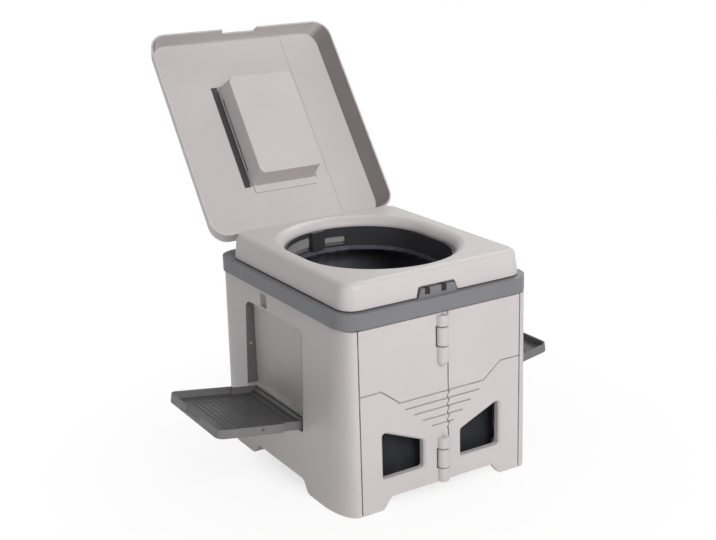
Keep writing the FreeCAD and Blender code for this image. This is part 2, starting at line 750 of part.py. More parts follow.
def seat_dish():
    """What the seat's top gives up where it rolls down to the hole."""
    crest = seat_top + roll_crest
    drop = crest - hole_z
    reach = math.sqrt(2 * roll_r * drop - drop * drop)
    edge = hole_x + hole_r
    centre = V(edge + reach, rear_end, crest - roll_r)

    def on_roll(z):
        return V(centre.x - math.sqrt(roll_r ** 2 - (z - centre.z) ** 2), rear_end, z)
    low, top = on_roll(hole_z), on_roll(seat_top + roll_crest / 2)
    above = seat_top + 2 * roll_crest
    path = [top, V(top.x, rear_end, above), V(edge, rear_end, above), low]
    edges = [Part.Arc(low, on_roll((low.z + top.z) / 2), top).toShape()]
    edges += [Part.LineSegment(a, b).toShape() for a, b in zip(path, path[1:])]
    section = Part.Face(Part.Wire(edges))
    side = section.extrude(V(0, -2 * hole_run, 0))
    end = section.revolve(V(hole_x, rear_end, 0), Z_AXIS, 180)
    middle = V(hole_x, hole_y, 0)
    return [end, end.mirror(middle, Y_AXIS), side, side.mirror(middle, X_AXIS)]


def seat():
    """Seat: drafted block with a rounded top edge, dished to its hole and hollow below."""
    w = seat_width / 2
    z0 = rim_top + seat_gap
    foot = outline(rect(-w, w, seat_front, seat_rear, seat_round), lambda u, v: V(u, v, z0)).OuterWire
    lean = seat_draft
    head = outline(rect(-w + lean, w - lean, seat_front + lean, seat_rear - lean, seat_round - lean),
                   lambda u, v: V(u, v, seat_top)).OuterWire
    block = Part.makeLoft([foot, head], True, True)
    crown = [e for e in block.Edges if e.BoundBox.ZMin > seat_top - 1e-6]
    block = block.makeFillet(seat_edge_r, crown)
    mouth = oval(hole_r, z0 - 1, 2 * seat_top)
    under = rounded_block(w - lean - seat_wall, seat_front + lean + seat_wall, seat_rear - lean - seat_wall,
                          seat_round - lean - seat_wall, z0 - 1, hole_z - seat_wall)
    core = oval(hole_r + seat_wall, z0 - 2, 2 * seat_top)
    under = under.cut(core)
    block = minus(block, seat_dish()).cut(mouth).removeSplitter()
    lip = [e for e in block.Edges if max(abs(e.BoundBox.ZMin - hole_z), abs(e.BoundBox.ZMax - hole_z)) < 1e-3]
    block = block.makeFillet(hole_edge_r, lip)
    notch_z = rim_top + notch_h
    notch = slab_xz(trapezoid(notch_foot, notch_head, z0 - 1, notch_z, notch_r),
                    seat_front - 1, seat_front + notch_depth)
    guard = trapezoid(notch_foot + seat_wall, notch_head + seat_wall, z0, notch_z + seat_wall, notch_r)
    guard = slab_xz(guard, seat_front, seat_front + notch_depth + seat_wall)
    lift = box(-seat_width, seat_width, 2 * seat_front, 2 * seat_rear, z0 - 1, rim_top + seat_lift)
    return block.cut(under.cut(guard)).cut(notch).cut(lift.cut(core))


def sector(r, a0, a1, z0, z1):
    """Wedge of a round block between two bearings seen from above."""
    wedge = Part.makeCylinder(r, z1 - z0, V(hole_x, rear_end, z0), Z_AXIS, a1 - a0)
    wedge.rotate(V(hole_x, rear_end, 0), Z_AXIS, a0)
    return wedge


def bag_ring():
    """Sleeve that lines the hole and grips the bag, with two openings at the rear."""
    sleeve = oval(ring_r, ring_bottom, ring_top)
    bore = oval(ring_r - ring_t, ring_bottom - 1, ring_top + 1)
    wedges = [sector(2 * ring_r, *window) for window in ring_windows]
    return minus(sleeve, [bore] + wedges)


def bag_clip():
    """Clip on the ring at the rear that holds the bag's edge."""
    inner = ring_r - ring_t
    half = clip_w / 2
    z0, z1 = ring_bottom + 2, ring_top
    block = box(inner - clip_t, inner + 1, -half, half, z0, z1)
    slot = box(inner - clip_t / 2, inner - clip_t / 4, -half - 1, half + 1, z0 - 1, z0 + (z1 - z0) / 2)
    block = block.cut(slot)
    block.rotate(V(0, 0, 0), Z_AXIS, clip_angle)
    block.translate(V(hole_x, rear_end, 0))
    return block.cut(oval(ring_r, z0 - 1, z1 + 1).cut(oval(inner, z0 - 2, z1 + 2)))


def waste_bag():
    """Film bag that hangs from the ring, as a thin-walled closed form with an open top."""
    def form(inset, z0, z1):
        y0, y1 = bag_front + inset, bag_rear - inset
        return rounded_block(bag_half_w - inset, y0, y1, bag_round - inset, z0, z1)
    mouth_r = ring_r - ring_t
    body = form(0, bag_bottom, bag_top)
    inside = form(bag_wall, bag_bottom + bag_wall, bag_top - bag_wall)
    neck_top = ring_bottom - bag_neck_gap
    neck = oval(mouth_r + bag_wall, bag_top - 1, neck_top)
    mouth = oval(mouth_r, bag_top - 2 * bag_wall, neck_top + 1)
    return body.fuse(neck).cut(inside).cut(mouth).removeSplitter()


def opened(shape):
    """Turn a lid piece from its shut place to the open one."""
    out = shape.copy()
    out.rotate(V(0, lid_pin_y, lid_pin_z), X_AXIS, -lid_open)
    return out


def lid_form(inset, z0, z1):
    """Lid's outer form between two heights, or one inside it; its sides flare out towards the lip."""
    def ring_wire(z):
        w = lid_width / 2 - lid_flare * (z - lip_z) / (lid_top_z - lip_z) - inset
        points = rect(-w, w, lid_front + inset, lid_rear - inset, lid_round - inset)
        return outline(points, lambda u, v: V(u, v, z)).OuterWire
    return Part.makeLoft([ring_wire(z0), ring_wire(z1)], True, True)


def lid_shell():
    """Lid's outer shell in its shut place: skirt, rounded top edge, front notch and hinge knuckles."""
    w = lid_width / 2
    block = lid_form(0.0, lip_z, lid_top_z)
    crown = [e for e in block.Edges if e.BoundBox.ZMin > lid_top_z - 1e-6]
    block = block.makeFillet(lid_edge_r, crown)
    t = lid_wall
    cavity = lid_form(t, lip_z - 1, lid_top_z - t)
    hidden = [e for e in cavity.Edges if e.BoundBox.ZMin > lid_top_z - t - 1e-6]
    cavity = cavity.makeFillet(lid_inner_r, hidden)
    half = lid_notch_w / 2
    head, notch_z = half - lid_notch_lean, lip_z + lid_notch_h
    notch = [(-half, lip_z - 1, 0), (half, lip_z - 1, 0),
             (head, notch_z, lid_notch_r), (-head, notch_z, lid_notch_r)]
    block = block.cut(cavity).cut(slab_xz(notch, lid_front - 1, lid_front + 2 * t))
    pieces = [block]
    for side in (-1, 1):
        x0 = lid_knuckle_in if side > 0 else -lid_knuckle_in - lid_knuckle_w
        pieces.append(cylinder(lid_knuckle_r, V(x0, lid_pin_y, lid_pin_z), X_AXIS, lid_knuckle_w))
        pieces.append(box(x0, x0 + lid_knuckle_w, lid_rear - t / 2, lid_pin_y,
                          lid_pin_z - lid_knuckle_r / 2, lid_pin_z + lid_knuckle_r))
    block = union(pieces)
    return block.cut(cylinder(lid_pin_r + running_fit, V(-w, lid_pin_y, lid_pin_z), X_AXIS, 2 * w))


def lid_liner():
    """Flat inner panel of the lid with two long creases and the cut-out for the tissue box."""
    t = lid_wall + liner_gap
    z0 = lid_inner_z
    block = lid_form(t, lip_z, z0 + liner_t)
    crown = [e for e in block.Edges if e.BoundBox.ZMin > z0 + liner_t - 1e-6]
    block = block.makeFillet(lid_inner_r - liner_gap, crown)
    plate = block.cut(box(-lid_width, lid_width, 2 * lid_front, 2 * lid_rear, lip_z - 1, z0))
    strip = box(-crease_x, crease_x, lid_front, lid_rear, z0 - 1, z0 + crease_step)
    base = box_half_w + box_lean
    y0, y1 = lid_front + box_near - box_lean, lid_front + box_far + box_lean
    gap = liner_gap
    well = box(-base - box_slot_w, base + gap, y0 - gap, y1 + gap, z0 - 1, z0 + 2 * liner_t)
    return plate.cut(strip).cut(well)


def tissue_slot_pad():
    """Dark pad on the lid's shell, seen in the slot beside the tissue box."""
    base = box_half_w + box_lean
    z1 = lid_inner_z + liner_t + liner_gap
    return box(-base - box_slot_w + liner_gap, -base - liner_gap, lid_front + box_near - box_lean,
               lid_front + box_far + box_lean, z1 - slot_pad_t, z1)


def tissue_box():
    """Hollow cover for the tissue pack, clipped into the liner, with a flange at its lower end."""
    z1 = lid_inner_z + liner_t
    z0 = lip_z - box_reach

    def ring_wire(inset, z):
        grow = box_lean * (z - z0) / (z1 - z0) - inset
        w = box_half_w + grow
        y0, y1 = lid_front + box_near - grow, lid_front + box_far + grow
        return outline(rect(-w, w, y0, y1, box_round - inset), lambda u, v: V(u, v, z)).OuterWire
    solid = Part.makeLoft([ring_wire(0, z0), ring_wire(0, z1)], True, True)
    face = [e for e in solid.Edges if e.BoundBox.ZMax < z0 + 1e-6]
    solid = solid.makeFillet(box_edge_r, face)
    inside = Part.makeLoft([ring_wire(box_wall, z0 + box_wall), ring_wire(box_wall, z1 + 1)], True, True)
    y = lid_front + box_far
    top = lid_inner_z + crease_step - liner_gap / 2
    flange = rect(-box_half_w, box_half_w, y - box_lean, y + box_flange_l, box_edge_r)
    flange = slab_xy(flange, top - box_flange_t, top)
    slit = box(-box_half_w - 2 * box_lean, -box_half_w + 2 * box_wall, lid_front + box_near + 2 * box_round,
               y - 2 * box_round, lid_inner_z - 3 * box_wall, lid_inner_z + crease_step - box_wall)
    solid = solid.cut(inside)
    return solid.fuse(flange.cut(inside)).cut(slit).removeSplitter()


def lid_pin(side):
    x0 = lid_knuckle_in - ear_gap - ear_w
    length = lid_knuckle_w + 2 * (ear_gap + ear_w)
    return cylinder(lid_pin_r, V(x0 if side > 0 else -x0 - length, lid_pin_y, lid_pin_z), X_AXIS, length)


def export(name, shape):
    solids = shape.Solids
    if not shape.isValid() or not solids:
        raise ValueError(name + " is not a valid solid")
    whole = solids[0] if len(solids) == 1 else Part.makeCompound(solids)
    whole.exportStep("parts/" + name + ".step")
    b = whole.BoundBox
    volume = sum(s.Volume for s in solids) / 1000
    print(f"{name:24s} {len(solids)} solids {volume:9.1f} cm3  "
          f"x {b.XMin:7.1f} {b.XMax:7.1f}  y {b.YMin:7.1f} {b.YMax:7.1f}  z {b.ZMin:7.1f} {b.ZMax:7.1f}")


def main():
    os.makedirs("parts", exist_ok=True)
    shell, rod, left_tray = side_shell(), corner_rod(), tray()
    panels = {side: wall_panel(side) for side in (-1, 1)}
    nodes = {
        "side_shell_left": shell,
        "side_shell_right": mirrored(shell),
        "front_panel_left": panels[-1],
        "front_panel_right": panels[1],
        "rear_panel_left": turned_half(panels[1]),
        "rear_panel_right": turned_half(panels[-1]),
        "corner_rod_front_left": rod,
        "corner_rod_front_right": mirrored(rod),
        "corner_rod_rear_left": turned_half(mirrored(rod)),
        "corner_rod_rear_right": turned_half(rod),
        "front_hinge_pin_upper": hinge_pin(upper_hinge),
        "front_hinge_pin_lower": hinge_pin(lower_hinge),
        "rear_hinge_pin_upper": turned_half(hinge_pin(upper_hinge)),
        "rear_hinge_pin_lower": turned_half(hinge_pin(lower_hinge)),
        "tray_left": left_tray,
        "tray_right": mirrored(left_tray),
        "tray_rod_left": tray_rod(),
        "tray_rod_right": mirrored(tray_rod()),
        "tray_guides_left": tray_guides(),
        "tray_guides_right": mirrored(tray_guides()),
        "tray_detents_left": tray_detents(),
        "tray_detents_right": mirrored(tray_detents()),
        "rim": rim(),
        "tab_pads": tab_pads(),
        "seat": seat(),
        "bag_ring": bag_ring(),
        "bag_clip": bag_clip(),
        "waste_bag": waste_bag(),
        "lid_shell": opened(lid_shell()),
        "lid_liner": opened(lid_liner()),
        "tissue_box": opened(tissue_box()),
        "tissue_slot_pad": opened(tissue_slot_pad()),
        "lid_pin_left": lid_pin(-1),
        "lid_pin_right": lid_pin(1),
    }
    for name, shape in nodes.items():
        export(name, shape)


main()
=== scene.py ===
"""Looks of a folding travel toilet: finishes, film bag, floor, light and camera."""
import json
import math

import bpy
from mathutils import Matrix, Vector, noise


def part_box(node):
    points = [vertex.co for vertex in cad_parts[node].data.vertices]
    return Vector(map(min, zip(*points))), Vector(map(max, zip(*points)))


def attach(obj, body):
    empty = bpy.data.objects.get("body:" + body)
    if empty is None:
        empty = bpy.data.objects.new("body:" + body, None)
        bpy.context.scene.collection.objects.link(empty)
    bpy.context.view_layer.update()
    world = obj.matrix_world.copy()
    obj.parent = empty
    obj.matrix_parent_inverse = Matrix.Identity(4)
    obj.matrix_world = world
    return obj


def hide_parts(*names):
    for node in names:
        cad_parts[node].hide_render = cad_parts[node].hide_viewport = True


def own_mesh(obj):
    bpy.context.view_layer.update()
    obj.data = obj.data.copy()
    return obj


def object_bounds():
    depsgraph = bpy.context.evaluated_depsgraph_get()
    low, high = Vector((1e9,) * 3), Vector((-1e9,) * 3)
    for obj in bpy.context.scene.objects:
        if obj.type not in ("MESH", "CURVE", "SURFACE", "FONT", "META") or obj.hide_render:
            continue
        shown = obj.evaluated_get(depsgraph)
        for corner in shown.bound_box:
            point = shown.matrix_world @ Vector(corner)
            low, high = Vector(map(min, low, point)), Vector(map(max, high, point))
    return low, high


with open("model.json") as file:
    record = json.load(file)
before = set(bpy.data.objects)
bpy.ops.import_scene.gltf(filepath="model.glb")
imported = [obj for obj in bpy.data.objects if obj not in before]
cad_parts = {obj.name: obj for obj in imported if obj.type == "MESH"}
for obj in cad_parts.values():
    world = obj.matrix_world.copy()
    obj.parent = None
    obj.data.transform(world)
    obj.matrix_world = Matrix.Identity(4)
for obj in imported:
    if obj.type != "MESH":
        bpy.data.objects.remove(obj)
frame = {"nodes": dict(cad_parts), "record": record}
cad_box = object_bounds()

NODES = frame["nodes"]
RECORD = frame["record"]

# Camera, in metres, degrees and pixels of the picture's frame
PHOTO_WIDTH = 716
FOCAL_PIXELS = 1229.67
SENSOR_WIDTH = 36.0
CAMERA_EYE = Vector((-0.9778, -1.5746, 0.8725))
CAMERA_YAW, CAMERA_PITCH, CAMERA_ROLL = 31.35, 17.11, -1.68

# Floor, in metres
FLOOR_SIZE = 14.0
FLOOR_DROP = 0.0006
FLOOR_COLOUR = (0.93, 0.93, 0.93)
FLOOR_ROUGHNESS = 0.9
FLOOR_SPECULAR = 0.1
FLOOR_MOTTLE = 3.0
FLOOR_SPREAD = 0.004
FLOOR_REACH = 0.70
# Distances from the middle, and the share of plain white there
FLOOR_WHITES = ((0.08, 0.45), (0.21, 0.89), (0.56, 1.0))

# Light: distance and size in metres, power in watts
WHITE = (1, 1, 1, 1)
WORLD_LEVEL = 0.20
LAMP_DISTANCE = 4.0
LAMPS = {
    "front_lamp": {"towards": (0.02, -0.84, 0.54), "watts": 103.0, "size": 2.3},
    "top_lamp": {"towards": (0.60, 0.38, 0.70), "watts": 47.0, "size": 2.15},
    "left_lamp": {"towards": (-0.90, -0.40, 0.02), "watts": 20.0, "size": 1.85},
}

# Linear base colours
CREAM = (0.612, 0.572, 0.568)
SEAT_CREAM = (0.635, 0.598, 0.590)
RIM_GREY = (0.200, 0.199, 0.213)
# Painted shade for the inside of the lid's side skirts, which are cream plastic
SKIRT_PAINTED_SHADE = (0.262, 0.241, 0.239)
# Painted shade for the seat's hole wall behind the ring's openings
HOLE_PAINTED_SHADE = (0.335, 0.330, 0.335)
TRAY_GREY = (0.185, 0.181, 0.182)
# Painted shade for the trays' faces that look up
TRAY_PAINTED_SHADE = (0.082, 0.080, 0.082)
BLACK = (0.046, 0.046, 0.052)
SLOT_BLACK = (0.012, 0.012, 0.014)
FILM = (0.026, 0.027, 0.033)
# Painted light for the film's inner side, inside the bag
FILM_INSIDE_PAINTED_LIGHT = (0.105, 0.107, 0.126)
STEEL = (0.56, 0.56, 0.57)

# In all finishes, a pattern's scale counts cells per metre, a spread is a share of the colour
# either way, a bump is a height in metres and a strength, and an edge is the radius of its
# softening in metres
PATTERN_RANGE = (0.3, 0.7)
EDGE_SAMPLES = 6

# Moulded plastic, and its roughness, grain and edge on each piece
PLASTIC_SPECULAR = 0.42
PLASTIC_DRIFT = {"scale": 7.0, "detail": 3.0}
PLASTIC_SPREAD = 0.025
PLASTIC_GLOSS = {"scale": 55.0, "detail": 4.0, "roughness": 0.6}
PLASTIC_GLOSS_SWING = (-0.05, 0.06)
PLASTIC_FLOW = {"scale": 38.0, "detail": 1.0}
PLASTIC_FLOW_BUMP = (0.0004, 0.10)
PLASTIC_GRAIN = {"detail": 3.0, "roughness": 0.6}
PLASTIC_GRAIN_STRENGTH = 0.35
CREAM_FINISH = {"roughness": 0.46, "grain": 1500.0, "grain_height": 0.00012, "edge": 0.0007}
SEAT_FINISH = {"roughness": 0.38, "grain": 2300.0, "grain_height": 0.00006, "edge": 0.0005}
RIM_FINISH = {"roughness": 0.48, "grain": 1500.0, "grain_height": 0.00014, "edge": 0.0008}
RING_FINISH = {"roughness": 0.36, "grain": 1800.0, "grain_height": 0.0001, "edge": 0.0005}
SLOT_FINISH = {"roughness": 0.55, "grain": 1500.0, "grain_height": 0.00012, "edge": 0.0005}

# Trays, with painted shade over a range of how far a face looks up
TRAY_SPECULAR = 0.45
TRAY_PATCHES = {"scale": 11.0, "detail": 4.0}
TRAY_SPREAD = 0.10
TRAY_LEVEL = (0.5, 0.9)
TRAY_GLOSS = {"scale": 80.0, "detail": 4.0}
TRAY_ROUGHNESS = (0.38, 0.52)
TRAY_CELLS = 950.0
TRAY_CELL_BUMP = (0.00025, 0.30)
TRAY_GRAIN = 2600.0
TRAY_GRAIN_BUMP = (0.0001, 0.20)
TRAY_EDGE = 0.0006

# Rods and pins
STEEL_LINE_SCALES = (2200.0, 2200.0, 40.0)
STEEL_LINES = {"scale": 1.0, "detail": 4.0, "roughness": 0.6}
STEEL_PATCHES = {"scale": 60.0, "detail": 3.0}
STEEL_SPREAD = 0.06
STEEL_ROUGHNESS = (0.24, 0.40)
STEEL_LINE_BUMP = (0.0001, 0.15)
STEEL_EDGE = 0.0004

# Film of the bag
FILM_SPECULAR = 0.14
FILM_PATCHES = {"scale": 24.0, "detail": 4.0}
FILM_SPREAD = 0.18
FILM_GLOSS = {"scale": 90.0, "detail": 3.0}
FILM_ROUGHNESS = (0.40, 0.56)
FILM_CRINKLES = 130.0
FILM_CRINKLE_STRETCH = (1.0, 1.0, 0.55)
FILM_CRINKLE_BUMP = (0.0010, 0.35)
FILM_RIPPLES = {"scale": 420.0, "detail": 3.0}
FILM_RIPPLE_BUMP = (0.0003, 0.25)

# Distance from the lid's middle plane times how far a face looks away from it, in metres, from
# full painted skirt shade to none
LID_INWARD = (-0.13, -0.08)
# The same about the upright axis, from the film's inner side, painted lighter as painted light,
# to its outer one
FILM_OUTWARD = (0.0, 0.05)
# The same for the hole's wall, and the heights over which its painted shade ends
HOLE_INWARD = (-0.08, -0.04)
HOLE_WALL_TOP = (0.334, 0.337)

# Film bag, in metres: its plan and its rows from the neck down
BAG_AROUND = 300
BAG_NECK_ROWS = 4
BAG_SHOULDER_ROWS = 22
BAG_WALL_ROWS = 50
BAG_CORNER_ROWS = 12
BAG_FLOOR_ROWS = 26
BAG_NECK = 0.0068
BAG_NECK_SET = 0.0026
BAG_SHOULDER = 0.030
BAG_SHOULDER_CURVE = 1.6
BAG_SIDE_GAP = 0.001
BAG_SQUARENESS = 9.0
BAG_CORNER = 0.014
BAG_CORNER_TURN = 1.4
BAG_FLOOR_SHARE = 0.92
BAG_FLOOR_LIFT = 0.002
BAG_FILM = 0.0004

# Pleats at the bag's neck, which fade out further down and lean in radians per metre
BAG_PLEATS = 34
BAG_PLEAT_DEPTH = 0.0020
BAG_PLEAT_LEAN = 6.0
BAG_PLEAT_END = 0.11
BAG_PLEAT_FADE = 0.10
BAG_NECK_PLEAT_SHARE = 0.35
# Waves that make pleats and folds uneven: reach, turns round the bag and phase
BAG_WOBBLE = ((1.4, 3, 0.7), (0.9, 7, 2.1))

# Creases and hanging folds of the bag, and creases of its floor
BAG_CREASE_DEPTH = 0.0055
BAG_CREASE_SCALE = 16.0
BAG_CREASE_ONSET = 0.012
BAG_FLOOR_CALM = 0.7
BAG_FOLDS = 15
BAG_FOLD_DEPTH = 0.004
BAG_FOLD_ONSET = 0.15
BAG_FLOOR_CREASE = 0.014
BAG_FLOOR_CREASE_SCALE = 13.0
# Finer and finer creases: scale and share
CREASE_OCTAVES = ((1.0, 0.55), (2.3, 0.30), (5.1, 0.15))

# Places of the colour mixer's sockets
MIX_SHARE, MIX_FIRST, MIX_SECOND, MIX_RESULT = 0, 6, 7, 2


class Shader:
    """A material with one principled shader, and short calls for the nodes that feed it."""

    def __init__(self, name, **sockets):
        self.material = bpy.data.materials.new(name)
        self.material.use_nodes = True
        self.tree = self.material.node_tree
        self.bsdf = next(n for n in self.tree.nodes if n.type == "BSDF_PRINCIPLED")
        place = self.tree.nodes.new("ShaderNodeTexCoord")
        self.coords, self.normals = place.outputs["Object"], place.outputs["Normal"]
        for socket, value in sockets.items():
            self.bsdf.inputs[socket.replace("_", " ")].default_value = value

    def node(self, kind, links=(), **settings):
        """Add a node with its settings, its plain inputs and the sources of its linked inputs."""
        made = self.tree.nodes.new("ShaderNode" + kind)
        for key, value in settings.items():
            if hasattr(made, key):
                setattr(made, key, value)
            else:
                made.inputs[key.replace("_", " ")].default_value = value
        for socket, source in dict(links).items():
            self.tree.links.new(source, made.inputs[socket])
        return made

    def feed(self, socket, source):
        self.tree.links.new(source, self.bsdf.inputs[socket])

    def stretched(self, scale):
        return self.node("Mapping", {"Vector": self.coords}, Scale=scale).outputs["Vector"]

    def noise(self, scale, detail=2.0, roughness=0.5, vector=None):
        links = {"Vector": vector or self.coords}
        made = self.node("TexNoise", links, Scale=scale, Detail=detail, Roughness=roughness)
        return made.outputs["Fac"]

    def cells(self, scale, feature, vector=None):
        links = {"Vector": vector or self.coords}
        return self.node("TexVoronoi", links, feature=feature, Scale=scale).outputs["Distance"]

    def span(self, source, low, high, inner=PATTERN_RANGE):
        """Map a range of the source onto low to high."""
        ends = {"From_Min": inner[0], "From_Max": inner[1], "To_Min": low, "To_Max": high}
        return self.node("MapRange", {"Value": source}, **ends).outputs["Result"]

    def tint(self, source, colour, spread):
        """A colour whose brightness varies by a share either way."""
        ramp = self.node("ValToRGB", {"Fac": source})
        levels = zip(ramp.color_ramp.elements, PATTERN_RANGE, (1 - spread, 1 + spread))
        for stop, position, level in levels:
            stop.position = position
            stop.color = [c * level for c in colour] + [1]
        return ramp.outputs["Color"]

    def two_tone(self, share, first, second):
        """Pass from one varied colour to another as the share goes from 0 to 1."""
        links = {MIX_SHARE: share, MIX_FIRST: first, MIX_SECOND: second}
        return self.node("Mix", links, data_type="RGBA").outputs[MIX_RESULT]

    def product(self, first, second):
        return self.node("Math", {0: first, 1: second}, operation="MULTIPLY").outputs[0]

    def place(self, axis):
        """Where the surface lies along one axis of the part."""
        return self.node("SeparateXYZ", {"Vector": self.coords}).outputs[axis]

    def facing(self, axis):
        """How far the surface faces along one axis of the part."""
        return self.node("SeparateXYZ", {"Vector": self.normals}).outputs[axis]

    def outward(self):
        """Distance from the upright axis times how far the surface looks away from it."""
        links = {0: self.stretched((1.0, 1.0, 0.0)), 1: self.normals}
        return self.node("VectorMath", links, operation="DOT_PRODUCT").outputs["Value"]

    def relief(self, *bumps, edge=0.0):
        """Chain bumps of (texture, height, strength) over softened edges."""
        normal = None
        if edge:
            normal = self.node("Bevel", samples=EDGE_SAMPLES, Radius=edge).outputs["Normal"]
        for source, height, strength in bumps:
            bump = self.node("Bump", {"Height": source}, Distance=height, Strength=strength)
            if normal:
                self.tree.links.new(normal, bump.inputs["Normal"])
            normal = bump.outputs["Normal"]
        self.feed("Normal", normal)


def moulded(name, roughness, grain, grain_height, edge):
    """Moulded plastic before its colour: eroded grain, mould flow and slightly uneven gloss."""
    shader = Shader(name, Specular_IOR_Level=PLASTIC_SPECULAR)
    glossy, dull = (roughness + swing for swing in PLASTIC_GLOSS_SWING)
    shader.feed("Roughness", shader.span(shader.noise(**PLASTIC_GLOSS), glossy, dull))
    flow = (shader.noise(**PLASTIC_FLOW), *PLASTIC_FLOW_BUMP)
    fine = (shader.noise(grain, **PLASTIC_GRAIN), grain_height, PLASTIC_GRAIN_STRENGTH)
    shader.relief(flow, fine, edge=edge)
    return shader


def drifting(shader, colour):
    """A plastic's colour with its slow drift of tone."""
    return shader.tint(shader.noise(**PLASTIC_DRIFT), colour, PLASTIC_SPREAD)


def moulded_plastic(name, colour, finish):
    shader = moulded(name, **finish)
    shader.feed("Base Color", drifting(shader, colour))
    return shader.material


def lid_plastic(name):
    """Cream plastic, with painted shade greying the inside of the lid's two side skirts."""
    shader = moulded(name, **CREAM_FINISH)
    outward = shader.product(shader.place("X"), shader.facing("X"))
    inside = shader.span(outward, 1.0, 0.0, LID_INWARD)
    cream, shaded = drifting(shader, CREAM), drifting(shader, SKIRT_PAINTED_SHADE)
    # Painted shade: inward faces of the side skirts take the greyer colour
    shader.feed("Base Color", shader.two_tone(inside, cream, shaded))
    return shader.material


def seat_plastic(name):
    """Cream plastic, with painted shade greying the hole's own wall, which shows through the
    ring's openings.
    """
    shader = moulded(name, **SEAT_FINISH)
    inward = shader.span(shader.outward(), 1.0, 0.0, HOLE_INWARD)
    below = shader.span(shader.place("Z"), 1.0, 0.0, HOLE_WALL_TOP)
    cream, shaded = drifting(shader, SEAT_CREAM), drifting(shader, HOLE_PAINTED_SHADE)
    # Painted shade: low inward faces of the hole's wall take the greyer colour
    shader.feed("Base Color", shader.two_tone(shader.product(inward, below), cream, shaded))
    return shader.material


def tray_plastic(name):
    """Charcoal plastic with a coarse eroded texture of small cells, and painted shade where it
    faces up.
    """
    shader = Shader(name, Specular_IOR_Level=TRAY_SPECULAR)
    patches = shader.noise(**TRAY_PATCHES)
    lips, floor = (shader.tint(patches, c, TRAY_SPREAD) for c in (TRAY_GREY, TRAY_PAINTED_SHADE))
    level = shader.span(shader.facing("Z"), 0.0, 1.0, TRAY_LEVEL)
    # Painted shade: faces that look up take the darker colour
    shader.feed("Base Color", shader.two_tone(level, lips, floor))
    shader.feed("Roughness", shader.span(shader.noise(**TRAY_GLOSS), *TRAY_ROUGHNESS))
    cells = (shader.cells(TRAY_CELLS, "F1"), *TRAY_CELL_BUMP)
    fine = (shader.noise(TRAY_GRAIN), *TRAY_GRAIN_BUMP)
    shader.relief(cells, fine, edge=TRAY_EDGE)
    return shader.material


def drawn_steel(name):
    """Drawn steel with fine upright lines."""
    shader = Shader(name, Metallic=1.0)
    lines = shader.noise(**STEEL_LINES, vector=shader.stretched(STEEL_LINE_SCALES))
    shader.feed("Base Color", shader.tint(shader.noise(**STEEL_PATCHES), STEEL, STEEL_SPREAD))
    shader.feed("Roughness", shader.span(lines, *STEEL_ROUGHNESS))
    shader.relief((lines, *STEEL_LINE_BUMP), edge=STEEL_EDGE)
    return shader.material


def film_plastic(name):
    """Thin black film, with painted light paling its inner side, and fine crinkles between its
    creases.
    """
    shader = Shader(name, Specular_IOR_Level=FILM_SPECULAR)
    patches = shader.noise(**FILM_PATCHES)
    outside, inside = (shader.tint(patches, c, FILM_SPREAD) for c in (FILM, FILM_INSIDE_PAINTED_LIGHT))
    inner = shader.span(shader.outward(), 1.0, 0.0, FILM_OUTWARD)
    # Painted light: the film's inner side takes the paler colour
    shader.feed("Base Color", shader.two_tone(inner, outside, inside))
    shader.feed("Roughness", shader.span(shader.noise(**FILM_GLOSS), *FILM_ROUGHNESS))
    crinkle = shader.cells(FILM_CRINKLES, "SMOOTH_F1", shader.stretched(FILM_CRINKLE_STRETCH))
    ripples = shader.noise(**FILM_RIPPLES)
    shader.relief((crinkle, *FILM_CRINKLE_BUMP), (ripples, *FILM_RIPPLE_BUMP))
    return shader.material


def dress_nodes():
    """Give each piece a finish of its own, or else the finish of its material slot."""
    finishes = {
        "cream": moulded_plastic("cream_plastic", CREAM, CREAM_FINISH),
        "seat_cream": seat_plastic("seat_plastic"),
        "rim_grey": moulded_plastic("rim_plastic", RIM_GREY, RIM_FINISH),
        "tray_grey": tray_plastic("tray_plastic"),
        "black": moulded_plastic("ring_plastic", BLACK, RING_FINISH),
        "steel": drawn_steel("rod_steel"),
        "film": film_plastic("bag_film"),
    }
    own = {
        "lid_shell": lid_plastic("lid_plastic"),
        "tab_pads": moulded_plastic("slot_plastic", SLOT_BLACK, SLOT_FINISH),
    }
    for subpart in RECORD["subparts"]:
        node = subpart["node"]
        mesh = NODES[node].data
        mesh.materials.clear()
        mesh.materials.append(own.get(node, finishes[subpart["material_slot"]]))
    return finishes


def smooth(t):
    """Ease from 0 to 1."""
    t = min(max(t, 0.0), 1.0)
    return t * t * (3 - 2 * t)


